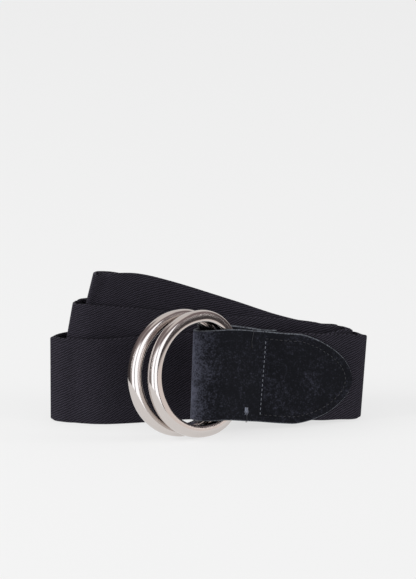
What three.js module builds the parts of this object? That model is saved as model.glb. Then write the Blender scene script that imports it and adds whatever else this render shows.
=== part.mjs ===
// A webbing belt with two metal rings, rolled up and standing on its edge.
// Units are millimetres. X runs to the right, Y away from the front and Z up.
// The floor is z = 0, and the origin is the middle of the footprint.
//
// The strap is one woven band. From the ring end it runs to the right, turns back round
// the outermost right fold, and winds inwards for three turns to its free end. The two
// inner turns ride up towards the left. A suede tab is folded round the right-hand arcs
// of both rings and takes the end of the band between its two layers.
import * as THREE from "three";

// Woven band
const strapWidth = 35;
const strapThickness = 1.5;
const turnGap = 0.4;
const turnPitch = strapThickness + turnGap;

// The roll, measured on the middle of the band's thickness
const rollHalfLength = 62;
const rollDepth = 24;
const foldRadius = strapThickness / 2 + 0.45;
const foldThroat = 3;
const foldMouth = 8;

// Suede tab
const tabWidth = 36.6;
const tabThickness = 1.3;
const tabTaper = 24;
const tabBluntness = 1.4;
const tabTipRows = 9;
const tabTipX = 57.7;
const seamX = 21.8;
const tabBackEndX = 26;
const layerGap = 0.3;
const layerOffset = (strapThickness + tabThickness) / 2 + layerGap;

// Rings: half round on the left, with rounded corners and a straight bar on the right
const ringOuterRadius = 25.5;
const ringCornerRadius = 18.3;
const ringCornerX = 1.2;
const ringWall = 4.6;
const ringAxialWidth = 5;
const ringArcStep = 5;

// Softening of a band's edges, as a share of its thickness
const edgeShare = 0.3;

// Largest steps between two cross-sections of a band
const stepAngle = THREE.MathUtils.degToRad(14);
const stepTwist = THREE.MathUtils.degToRad(0.9);
const stepLength = 6;

const suedeColour = 0x1d1e23;
const webbingColour = 0x24252c;
const ringColour = 0xc9c4c0;

// Where the straight runs of the roll lie, seen from above. Depths are shares of the
// roll's depth, for the frontmost and the backmost run; the runs between them are stacked
// one turn pitch apart. Lifts are shares of the band's width, and the tip is the angle in
// degrees by which the front runs lean away from the front.
const runs = [
  { x: -0.71, front: 0.033, back: 0.71, tip: 2, liftB2: 0.389, liftF2: 0.388, liftB3: 0.716, liftF3: 0.758 },
  { x: -0.5, front: 0.15, back: 0.82, tip: 6, liftB2: 0.346, liftF2: 0.328, liftB3: 0.655, liftF3: 0.718 },
  { x: -0.32, front: 0.31, back: 1.01, tip: 9, liftB2: 0.297, liftF2: 0.269, liftB3: 0.585, liftF3: 0.625 },
  { x: -0.13, front: 0.425, back: 1.15, tip: 9, liftB2: 0.24, liftF2: 0.22, liftB3: 0.466, liftF3: 0.508 },
  { x: 0.13, front: 0.425, back: 1.17, tip: 8, liftB2: 0.16, liftF2: 0.18, liftB3: 0.303, liftF3: 0.364 },
  { x: 0.39, front: 0.358, back: 1.1, tip: 6, liftB2: 0.086, liftF2: 0.175, liftB3: 0.157, liftF3: 0.225 },
  { x: 0.645, front: 0.308, back: 0.95, tip: 5, liftB2: 0.057, liftF2: 0.146, liftB3: 0.074, liftF3: 0.12 },
];

// The turns in the order in which the band passes them, from the outermost to the free
// end. Layer counts turn pitches from the frontmost or the backmost run, and from and to
// are the places, as shares of the half length, between which the run is straight.
const turns = [
  { fold: "R1", run: "B1", layer: 0, from: -0.8, to: 0.8 },
  { fold: "L1", run: "F1", layer: 0, from: -0.72, to: 0.7 },
  { fold: "R2", run: "B2", layer: -1.2, from: -0.6, to: 0.7 },
  { fold: "L2", run: "F2", layer: 1.08, from: -0.6, to: 0.7 },
  { fold: "R3", run: "B3", layer: -2.4, from: -0.55, to: 0.6 },
  { fold: "L3", run: "F3", layer: 2.16, from: -0.55, to: 0.7 },
];

// The folds at the two ends of the roll. x is a share of the half length, depth of the
// roll's depth and the lifts of the band's width; lean and tip are in degrees, and the
// lean takes the top to the right. The open columns say how far the band has opened in
// front of and behind the fold's nose, in turn pitches, at the fold's throat and mouth.
const folds = {
  R1: { x: 1, depth: 0.25, layer: 2, lean: 4, lift: 0.006, nearLift: 0.026, nearTip: 4, farLift: 0 },
  L1: { x: -1.01, depth: 0.094, layer: 2.5, lean: 0, lift: 0, nearLift: 0, nearTip: 0, farLift: 0 },
  R2: { x: 0.917, depth: 0.292, layer: 2, lean: 2, lift: 0.063, nearLift: 0.03, nearTip: 2, farLift: 0.06 },
  L2: { x: -0.911, depth: 0.105, layer: 2.5, lean: 10, lift: 0.418, nearLift: 0.404, nearTip: 0, farLift: 0.416 },
  R3: { x: 0.831, depth: 0.355, layer: 2, lean: 4, lift: 0.094, nearLift: 0.13, nearTip: 3.5, farLift: 0.083 },
  L3: { x: -0.795, depth: 0.16, layer: 2.5, lean: 13.7, lift: 0.771, nearLift: 0.764, nearTip: 0, farLift: 0.742 },
};
const foldOpenings = {
  R1: { nearThroat: 1.15, nearMouth: 2.15, farThroat: 1.7, farMouth: 3.5 },
  L1: { nearThroat: 1.45, nearMouth: 2.15, farThroat: 2.1, farMouth: 3.9 },
  R2: { nearThroat: 1, nearMouth: 1.6, farThroat: 1.75, farMouth: 3.2 },
  L2: { nearThroat: 1.2, nearMouth: 1.9, farThroat: 2.6, farMouth: 3.2 },
  R3: { nearThroat: 0.95, nearMouth: 1.45, farThroat: 1, farMouth: 2.3 },
  L3: { nearThroat: 0.8, nearMouth: 0.7, farThroat: 0.8, farMouth: 1.4 },
};

// The band from the seam of the tab to the first fold. Depth is in millimetres from the
// frontmost run of the roll, and bottom is the height of the band's lower edge.
const ringEnd = [
  { x: seamX - 0.6, depth: -3.5, bottom: 4, tip: 8.3, lean: 4.5 },
  { x: 29, depth: -2.3, bottom: 3.4, tip: 6.5, lean: 4.5 },
  { x: 37, depth: -0.6, bottom: 2.8, tip: 5.5, lean: 4.5 },
  { x: 46, depth: 2.4, bottom: 1.6, tip: 6.5, lean: 4.5 },
];

// The tab's pocket, from the seam on the front layer round the rings to the seam behind
const pocket = [
  { x: 17, depth: -7.4, middle: 22.1, tip: 8.5, lean: 4.5 },
  { x: 12, depth: -10.2, middle: 23.2, tip: 9.5, lean: 4 },
  { x: 7, depth: -13.2, middle: 24, tip: 10, lean: 3.5 },
  { x: 2, depth: -14.4, middle: 24, tip: 10, lean: 3 },
  { x: -3, depth: -13.4, middle: 23.7, tip: 8, lean: 2.5 },
  { x: -5.8, depth: -9.8, middle: 23.3, tip: 4, lean: 2 },
  { x: -4.4, depth: -4.4, middle: 22.8, tip: 3, lean: 2 },
  { x: -0.6, depth: 1.2, middle: 22, tip: 3, lean: 2.5 },
  { x: 4.5, depth: 5.2, middle: 21.4, tip: 3, lean: 3 },
  { x: 10, depth: 6.5, middle: 20.8, tip: 4, lean: 3.5 },
  { x: 15, depth: 4.6, middle: 20.6, tip: 6, lean: 4 },
  { x: 19, depth: 1.2, middle: 20.8, tip: 7.5, lean: 4.5 },
];

// Where the middles of the rings' round halves stand, and how the rings are turned about
// the vertical and leaned back, in degrees
const ringPoses = {
  ring_front: { x: -3.2, depth: -16.7, yaw: 38, lean: 7.5 },
  ring_rear: { x: -10.6, depth: -15.1, yaw: 36, lean: 7.5 },
};

const radians = THREE.MathUtils.degToRad;

// Unit vector across a band: straight up, leaned to the right and tipped to the back.
function acrossBand(tangent, lean, tip) {
  const side = Math.sin(lean);
  const heading = (tangent.x * tangent.y) / (tangent.x ** 2 + tangent.y ** 2);
  const turn = heading * (1 + heading ** 2);
  return new THREE.Vector3(side, side * turn + Math.cos(lean) * Math.tan(tip), Math.cos(lean)).normalize();
}

// Corners of a band's cross-section: flat sides and softened edges.
function bandSection(halfWidth, thickness) {
  const half = thickness / 2;
  const edge = Math.min(edgeShare * thickness, halfWidth / 2);
  return [
    [-halfWidth, -half + edge], [-halfWidth + edge, -half], [halfWidth - edge, -half], [halfWidth, -half + edge],
    [halfWidth, half - edge], [halfWidth - edge, half], [-halfWidth + edge, half], [-halfWidth, half - edge],
  ];
}

// A route is a list of rows with x, y, lift, lean and tip. Between the rows it is smooth.
// Cross-sections are set closer together where the band turns sharply.
function sampleRoute(rows, samplesPerRow = 12) {
  const path = new THREE.CatmullRomCurve3(rows.map((row) => new THREE.Vector3(row.x, row.y, row.z)), false, "centripetal");
  const tilt = new THREE.CatmullRomCurve3(rows.map((row) => new THREE.Vector3(row.lean, row.tip, 0)), false, "catmullrom");
  const count = (rows.length - 1) * samplesPerRow;
  const stations = [];
  let previous = null;
  for (let i = 0; i <= count; i += 1) {
    const share = i / count;
    const centre = path.getPoint(share);
    const tangent = path.getTangent(share);
    const angles = tilt.getPoint(share);
    const far = previous && centre.distanceTo(previous.centre) > stepLength;
    const turned = previous && tangent.angleTo(previous.tangent) > stepAngle;
    const twisted = previous && Math.abs(angles.y - previous.tip) > stepTwist;
    if (!previous || far || turned || twisted || i === count) {
      previous = { centre, tangent, lean: angles.x, tip: angles.y };
      stations.push(previous);
    }
  }
  return stations;
}

// Closed solid through the cross-sections of a band.
function bandGeometry(stations, halfWidthAt, thickness) {
  const positions = [];
  const indices = [];
  const sides = 8;
  let run = 0;
  stations.forEach((station, i) => {
    run += i === 0 ? 0 : station.centre.distanceTo(stations[i - 1].centre);
    const across = acrossBand(station.tangent, station.lean, station.tip);
    const normal = new THREE.Vector3().crossVectors(station.tangent, across).normalize();
    for (const [w, n] of bandSection(halfWidthAt(run), thickness)) {
      const corner = station.centre.clone().addScaledVector(across, w).addScaledVector(normal, n);
      positions.push(corner.x, corner.y, corner.z);
    }
  });
  for (let i = 0; i + 1 < stations.length; i += 1) {
    for (let k = 0; k < sides; k += 1) {
      const a = i * sides + k;
      const b = i * sides + ((k + 1) % sides);
      indices.push(a, a + sides, b + sides, a, b + sides, b);
    }
  }
  const last = (stations.length - 1) * sides;
  for (let k = 1; k + 1 < sides; k += 1) {
    indices.push(0, k, k + 1);
    indices.push(last, last + k + 1, last + k);
  }
  const geometry = new THREE.BufferGeometry();
  geometry.setAttribute("position", new THREE.Float32BufferAttribute(positions, 3));
  geometry.setIndex(indices);
  return outwardFacing(geometry);
}

// Turns the faces round if the solid is inside out.
function outwardFacing(geometry) {
  const p = geometry.attributes.position;
  const index = geometry.index;
  const a = new THREE.Vector3();
  const b = new THREE.Vector3();
  const c = new THREE.Vector3();
  let volume = 0;
  for (let i = 0; i < index.count; i += 3) {
    a.fromBufferAttribute(p, index.getX(i));
    b.fromBufferAttribute(p, index.getX(i + 1));
    c.fromBufferAttribute(p, index.getX(i + 2));
    volume += a.dot(b.cross(c));
  }
  if (volume < 0) {
    for (let i = 0; i < index.count; i += 3) {
      const keep = index.getX(i);
      index.setX(i, index.getX(i + 1));
      index.setX(i + 1, keep);
    }
  }
  geometry.computeVertexNormals();
  return geometry;
}

// Height of a band's middle line when its lower edge stands at the given height.
function middleHeight(bottom, lean, tip) {
  const across = acrossBand(new THREE.Vector3(1, 0, 0), radians(lean), radians(tip));
  const corner = (0.5 - edgeShare) * strapThickness * Math.abs(Math.sin(radians(tip)));
  return bottom + (strapWidth / 2) * across.z + corner;
}

function bandRow(x, y, bottom, lean, tip) {
  return { x, y, z: middleHeight(bottom, lean, tip), lean: radians(lean), tip: radians(tip) };
}

// The rows of one fold, in the order in which the band passes them. A fold on the left is
// entered from behind and left at the front, and one on the right the other way round.
function foldRows(name) {
  const fold = folds[name];
  const opening = foldOpenings[name];
  const inward = -Math.sign(fold.x);
  const noseX = fold.x * rollHalfLength;
  const noseY = fold.depth * rollDepth + fold.layer * turnPitch;
  const row = (along, out, lift, tip) => bandRow(noseX + inward * along, noseY + out, lift * strapWidth, fold.lean, tip);
  const rows = [
    row(foldMouth, -opening.nearMouth * turnPitch, fold.nearLift, fold.nearTip),
    row(foldThroat, -opening.nearThroat * turnPitch, fold.lift, 0),
    row(foldRadius, -foldRadius, fold.lift, 0),
    row(0, 0, fold.lift, 0),
    row(foldRadius, foldRadius, fold.lift, 0),
    row(foldThroat, opening.farThroat * turnPitch, fold.lift, 0),
    row(foldMouth, opening.farMouth * turnPitch, fold.farLift, 0),
  ];
  return inward < 0 ? rows : rows.reverse();
}

// The rows of one straight run between two folds. A front run that is lifted stands
// further back, so that the runs lie flat against one another.
function runRows({ run, layer, from, to }) {
  const front = run.startsWith("F");
  const inside = runs.filter((row) => row.x > from && row.x < to);
  const ordered = front ? inside : [...inside].reverse();
  const lift = (row) => (row[`lift${run}`] ?? 0) * strapWidth;
  return ordered.map((row) => {
    const index = runs.indexOf(row);
    const left = runs[Math.max(index - 1, 0)];
    const right = runs[Math.min(index + 1, runs.length - 1)];
    const slope = (lift(left) - lift(right)) / ((right.x - left.x) * rollHalfLength);
    const lean = THREE.MathUtils.radToDeg(Math.atan(slope));
    const tip = front ? row.tip : 0;
    const depth = (front ? row.front : row.back) * rollDepth + layer * turnPitch;
    return bandRow(row.x * rollHalfLength, depth + lift(row) * Math.tan(radians(tip)), lift(row), lean, tip);
  });
}

function strapRoute() {
  const rows = ringEnd.map((row) => bandRow(row.x, row.depth, row.bottom, row.lean, row.tip));
  for (const turn of turns) {
    rows.push(...foldRows(turn.fold), ...runRows(turn));
  }
  return rows;
}

// Cross-sections of the band moved along its own normal, for a layer that lies on it.
function layerStations(stations, offset) {
  return stations.map((station) => {
    const across = acrossBand(station.tangent, station.lean, station.tip);
    const normal = new THREE.Vector3().crossVectors(station.tangent, across).normalize();
    const towardsFront = normal.y < 0 ? 1 : -1;
    const centre = station.centre.clone().addScaledVector(normal, offset * towardsFront);
    return { ...station, centre };
  });
}

function between(a, b, share) {
  return {
    centre: a.centre.clone().lerp(b.centre, share),
    tangent: a.tangent.clone().lerp(b.tangent, share).normalize(),
    lean: THREE.MathUtils.lerp(a.lean, b.lean, share),
    tip: THREE.MathUtils.lerp(a.tip, b.tip, share),
  };
}

// The part of a row of cross-sections that lies between two places along X.
function clipStations(stations, fromX, toX) {
  const kept = [];
  for (let i = 0; i + 1 < stations.length; i += 1) {
    const a = stations[i];
    const b = stations[i + 1];
    for (const x of [fromX, toX]) {
      const share = (x - a.centre.x) / (b.centre.x - a.centre.x);
      if (share > 0 && share < 1) {
        kept.push(between(a, b, share));
      }
    }
    if (b.centre.x > fromX && b.centre.x < toX) {
      kept.push(b);
    }
  }
  return kept;
}

// The same cross-sections, passed the other way.
function reversed(stations) {
  return stations.map((station) => ({ ...station, tangent: station.tangent.clone().negate() })).reverse();
}

// More cross-sections between the given ones, closest together at the tip of the tab.
function refineTip(stations) {
  const wanted = [];
  for (let i = 1; i < tabTipRows; i += 1) {
    wanted.push(tabTaper * (i / tabTipRows) ** 2);
  }
  const refined = [stations[0]];
  let run = 0;
  for (let i = 0; i + 1 < stations.length; i += 1) {
    const a = stations[i];
    const b = stations[i + 1];
    const length = a.centre.distanceTo(b.centre);
    for (const place of wanted) {
      const share = (place - run) / length;
      if (share > 0.02 && share < 0.98) {
        refined.push(between(a, b, share));
      }
    }
    refined.push(b);
    run += length;
  }
  return refined;
}

function tabStations(strapStations) {
  const ringEndCount = strapStations.findIndex((station) => station.tangent.x < 0);
  const under = strapStations.slice(0, ringEndCount);
  const front = reversed(clipStations(layerStations(under, layerOffset), seamX, tabTipX));
  const back = clipStations(layerStations(under, -layerOffset), seamX, tabBackEndX);
  const rows = [front[front.length - 2], front[front.length - 1], ...pocket, back[0], back[1]].map((row) => {
    const station = row.centre ?? new THREE.Vector3(row.x, row.depth, row.middle);
    const lean = row.centre ? row.lean : radians(row.lean);
    const tip = row.centre ? row.tip : radians(row.tip);
    return { x: station.x, y: station.y, z: station.z, lean, tip };
  });
  const loop = sampleRoute(rows).filter((station) => station.centre.x < seamX - 1);
  return [...refineTip(front), ...loop, ...back];
}

function tabHalfWidth(run) {
  const left = Math.max(1 - run / tabTaper, 0);
  const narrowest = 1 / (2 * tabTipRows);
  return (tabWidth / 2) * Math.max(Math.sqrt(1 - left ** tabBluntness), narrowest);
}

// Cross-section of a ring as shares of its wall, measured outwards, and of half its width.
const ringSection = [
  [0, 0.72], [0.06, 0.87], [0.2, 0.98], [0.5, 1], [0.75, 0.93], [0.92, 0.7], [1, 0.3],
  [1, -0.3], [0.92, -0.7], [0.75, -0.93], [0.5, -1], [0.2, -0.98], [0.06, -0.87], [0, -0.72],
];

// The arcs of a ring's outline, in its own plane, with the angles in degrees.
const ringArcs = [
  { x: 0, z: 0, radius: ringOuterRadius, from: 90, to: 270 },
  { x: ringCornerX, z: ringCornerRadius - ringOuterRadius, radius: ringCornerRadius, from: 270, to: 360 },
  { x: ringCornerX, z: ringOuterRadius - ringCornerRadius, radius: ringCornerRadius, from: 0, to: 90 },
];

function ringGeometry() {
  const positions = [];
  const indices = [];
  const sides = ringSection.length;
  for (const arc of ringArcs) {
    for (let angle = arc.from; angle <= arc.to; angle += ringArcStep) {
      for (const [out, along] of ringSection) {
        const radius = arc.radius - (1 - out) * ringWall;
        const x = arc.x + radius * Math.cos(radians(angle));
        const z = arc.z + radius * Math.sin(radians(angle));
        positions.push(x, (along * ringAxialWidth) / 2, z);
      }
    }
  }
  const count = positions.length / 3 / sides;
  for (let i = 0; i < count; i += 1) {
    for (let k = 0; k < sides; k += 1) {
      const a = i * sides + k;
      const b = i * sides + ((k + 1) % sides);
      const c = ((i + 1) % count) * sides + k;
      const d = ((i + 1) % count) * sides + ((k + 1) % sides);
      indices.push(a, c, d, a, d, b);
    }
  }
  const geometry = new THREE.BufferGeometry();
  geometry.setAttribute("position", new THREE.Float32BufferAttribute(positions, 3));
  geometry.setIndex(indices);
  return outwardFacing(geometry);
}

// A ring stands on the floor, turned about the vertical and leaned back on the tab.
function makeRing(name, pose) {
  const yaw = radians(pose.yaw);
  const lean = radians(pose.lean);
  const material = new THREE.MeshStandardMaterial({ color: ringColour, roughness: 0.12, metalness: 1 });
  const ring = new THREE.Mesh(ringGeometry(), material);
  ring.name = name;
  const across = new THREE.Vector3(Math.cos(yaw), Math.sin(yaw), 0);
  const up = new THREE.Vector3(-Math.sin(yaw) * Math.sin(lean), Math.cos(yaw) * Math.sin(lean), Math.cos(lean));
  const back = new THREE.Vector3().crossVectors(up, across);
  ring.quaternion.setFromRotationMatrix(new THREE.Matrix4().makeBasis(across, back, up));
  ring.position.set(pose.x, pose.depth, 0);
  ring.updateMatrixWorld(true);
  ring.position.z = -new THREE.Box3().setFromObject(ring, true).min.z;
  return ring;
}

function makeStrap(stations) {
  const geometry = bandGeometry(stations, () => strapWidth / 2, strapThickness);
  const material = new THREE.MeshStandardMaterial({ color: webbingColour, roughness: 0.9, metalness: 0 });
  const strap = new THREE.Mesh(geometry, material);
  strap.name = "webbing_strap";
  return strap;
}

function makeTab(strapStations) {
  const geometry = bandGeometry(tabStations(strapStations), tabHalfWidth, tabThickness);
  const material = new THREE.MeshStandardMaterial({ color: suedeColour, roughness: 0.95, metalness: 0 });
  const tab = new THREE.Mesh(geometry, material);
  tab.name = "ring_tab";
  return tab;
}

// Moves the whole belt so that its footprint is centred and its lowest point is z = 0.
function centreOnFloor(group) {
  group.updateMatrixWorld(true);
  const box = new THREE.Box3().setFromObject(group, true);
  group.position.set(-(box.min.x + box.max.x) / 2, -(box.min.y + box.max.y) / 2, -box.min.z);
}

const strapStations = sampleRoute(strapRoute());
const belt = new THREE.Group();
belt.add(makeStrap(strapStations));
belt.add(makeTab(strapStations));
belt.add(makeRing("ring_front", ringPoses.ring_front));
belt.add(makeRing("ring_rear", ringPoses.ring_rear));
centreOnFloor(belt);

export default belt;
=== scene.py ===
"""A rolled webbing belt with two metal rings and a suede tab, standing on its edge.

Units are metres. X runs to the right, Y away from the front and Z up.
"""

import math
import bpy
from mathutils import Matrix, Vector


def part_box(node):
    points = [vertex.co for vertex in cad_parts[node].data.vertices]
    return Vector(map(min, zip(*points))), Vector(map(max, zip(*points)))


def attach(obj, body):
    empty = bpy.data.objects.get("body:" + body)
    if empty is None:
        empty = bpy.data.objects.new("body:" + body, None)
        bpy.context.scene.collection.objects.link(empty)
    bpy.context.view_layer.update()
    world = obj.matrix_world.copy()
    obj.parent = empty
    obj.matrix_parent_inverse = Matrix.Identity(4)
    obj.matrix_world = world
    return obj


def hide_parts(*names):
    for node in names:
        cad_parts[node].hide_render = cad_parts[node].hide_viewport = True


bl_info = {
    "name": "Double Ring Belt",
    "version": (1, 0, 0),
    "blender": (4, 5, 0),
    "location": "View3D > Sidebar > Belt",
    "description": "Builds a rolled webbing belt with two metal rings and a pointed suede tab",
    "category": "Add Mesh",
}

import bmesh
import bpy
import numpy as np
from bpy.props import FloatProperty, FloatVectorProperty, PointerProperty
from mathutils import Matrix, Vector

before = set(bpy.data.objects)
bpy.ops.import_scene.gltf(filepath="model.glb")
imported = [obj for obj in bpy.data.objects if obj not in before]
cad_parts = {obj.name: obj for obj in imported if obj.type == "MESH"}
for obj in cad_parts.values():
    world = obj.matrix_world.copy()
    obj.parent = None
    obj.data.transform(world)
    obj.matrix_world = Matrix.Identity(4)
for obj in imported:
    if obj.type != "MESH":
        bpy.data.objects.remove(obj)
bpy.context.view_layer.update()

MM = 0.001

# The photograph's frame: its size, how many of its pixels show one millimetre of the belt,
# how far the camera looks down, and the row of pixels in which the belt stands
IMAGE_WIDTH = 416
IMAGE_HEIGHT = 579
PIXELS_PER_MM = 2.5
VIEW_ELEVATION = math.radians(14)
BASE_LINE_PIXEL = 425


def linear(hex_colour):
    """Linear red, green and blue of an sRGB hex colour."""
    channels = [int(hex_colour[i:i + 2], 16) / 255 for i in (1, 3, 5)]
    return tuple(c / 12.92 if c <= 0.04045 else ((c + 0.055) / 1.055) ** 2.4 for c in channels)


def size_property(name, description, millimetres):
    return FloatProperty(
        name=name, description=description, default=millimetres * MM,
        min=0, precision=5, subtype="DISTANCE", unit="LENGTH",
    )


def angle_property(name, description, degrees):
    return FloatProperty(
        name=name, description=description, default=math.radians(degrees),
        subtype="ANGLE", unit="ROTATION",
    )


def colour_property(name, description, hex_colour):
    return FloatVectorProperty(
        name=name, description=description, default=linear(hex_colour),
        size=3, min=0, max=1, subtype="COLOR",
    )


class BeltWebbing(bpy.types.PropertyGroup):
    """The woven band"""
    thickness: size_property("Thickness", "Thickness of the woven band", 1.5)
    selvedge: size_property("Selvedge", "Width of the rounded edge", 0.55)
    ridge_x: FloatProperty(
        name="Ridge place", description="Where the front run bulges beside the rings",
        default=-15.5 * MM, precision=5, subtype="DISTANCE", unit="LENGTH",
    )
    ridge_width: size_property("Ridge width", "Half the width of the bulge", 3)
    ridge_height: size_property("Ridge height", "Height of the bulge", 1.2)
    pull: size_property("Pull", "How far a hard fold pulls each edge in", 0.5)
    rib_spacing: size_property("Rib spacing", "Distance from one twill rib to the next", 0.9)
    rib_angle: angle_property("Rib angle", "Angle between the ribs and the band's length", 28)
    yarn_spacing: size_property("Yarn spacing", "Distance between the yarns that cross a rib", 0.62)
    colour: colour_property("Yarn", "Colour of the yarn on the ribs", "#35323c")
    # Painted shade: the valleys take a near-black colour for the shade that falls between the ribs
    valley_shade_colour: colour_property("Valleys", "Colour between the ribs", "#09080d")


class BeltSuede(bpy.types.PropertyGroup):
    """The suede tab"""
    thickness: size_property("Thickness", "Thickness of the suede", 1.3)
    taper: size_property("Taper", "Length of the pointed end", 24)
    edge: size_property("Edge", "Width of the rounded raw edge", 0.42)
    colour: colour_property("Nap", "Colour of the nap lying flat", "#0e0f14")
    raised_colour: colour_property("Raised nap", "Colour where the nap stands up", "#383945")
    # Painted highlight: the paler colour near the fold stands in for the light that the turned fold
    # catches
    fold_highlight_reach: size_property("Fold reach", "How far from the fold the nap looks paler", 15)
    fold_highlight_colour: colour_property("Fold", "Colour of the nap that the fold opens", "#464854")
    edge_colour: colour_property("Raw edge", "Colour of the cut edge", "#666a71")


class BeltRings(bpy.types.PropertyGroup):
    """The two rings"""
    radius: size_property("Radius", "Outer radius of the round half", 25.5)
    corner_radius: size_property("Corner radius", "Outer radius of the two corners by the bar", 18.3)
    corner_x: size_property(
        "Corner centre", "From the round half's centre to the corners' centres", 1.2,
    )
    wall: size_property("Wall", "Width of the ring's band in its own plane", 4.6)
    swell: size_property("Swell", "How much the round half is thicker than the bar, inwards", 0.5)
    width: size_property("Width", "Width of the ring along its axis", 5)
    front_yaw: angle_property("Front yaw", "Turn of the front ring about the vertical", 38)
    rear_yaw: angle_property("Rear yaw", "Turn of the rear ring about the vertical", 36)
    lean: angle_property("Lean", "How far both rings lean back", 7.5)
    colour: colour_property("Metal", "Colour of the polished metal", "#d5ceca")


class BeltThread(bpy.types.PropertyGroup):
    """The sewing thread"""
    radius: size_property("Radius", "Radius of the thread", 0.17)
    stitch: size_property("Stitch", "Length of one stitch that shows", 0.95)
    pitch: size_property("Pitch", "From the start of one stitch to the next", 1.9)
    inset: size_property("Inset", "From the tab's edge to the edge stitching", 3)
    light_colour: colour_property("Light thread", "Colour of the cross seam", "#62666f")
    frayed_colour: colour_property("Frayed end", "Colour of the frayed thread end", "#8b90a0")
    dark_colour: colour_property(
        "Dark thread", "Colour of the edge stitching and the end tacks", "#15161b",
    )


class BeltStage(bpy.types.PropertyGroup):
    """The floor, the light and the camera"""
    camera_distance: FloatProperty(
        name="Camera distance", description="From the camera to the belt",
        default=3, min=0.5, unit="LENGTH", subtype="DISTANCE",
    )
    light: FloatProperty(
        name="Light", description="Strength of the studio's light", default=1, min=0,
    )
    floor_size: FloatProperty(
        name="Floor size", description="Length of one side of the floor",
        default=16, min=1, unit="LENGTH", subtype="DISTANCE",
    )
    floor_colour: colour_property("Floor", "Colour of the floor", "#f1f1f1")


# Colour inputs and colour output of a Mix node, which has several of the same name
FIRST_COLOUR = 6
SECOND_COLOUR = 7
MIXED_COLOUR = 2


def add_node(tree, kind, inputs=None, **settings):
    """Adds a node, sets its options, and gives each input a value, a socket or a node's result."""
    node = tree.nodes.new(kind)
    for name, value in settings.items():
        setattr(node, name, value)
    for key, value in (inputs or {}).items():
        if isinstance(value, bpy.types.Node):
            value = next(output for output in value.outputs if output.enabled)
        if isinstance(value, bpy.types.NodeSocket):
            tree.links.new(value, node.inputs[key])
        else:
            node.inputs[key].default_value = value
    return node


def new_material(name):
    """An empty node material with its tree and its Principled shader."""
    material = bpy.data.materials.new(name)
    material.use_nodes = True
    tree = material.node_tree
    tree.nodes.clear()
    shader = tree.nodes.new("ShaderNodeBsdfPrincipled")
    output = tree.nodes.new("ShaderNodeOutputMaterial")
    tree.links.new(shader.outputs["BSDF"], output.inputs["Surface"])
    return material, tree, shader


def pattern_scale(millimetres):
    """Scale of a pattern on coordinates in metres, from the width of its cells."""
    return 1 / (millimetres * MM)


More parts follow.
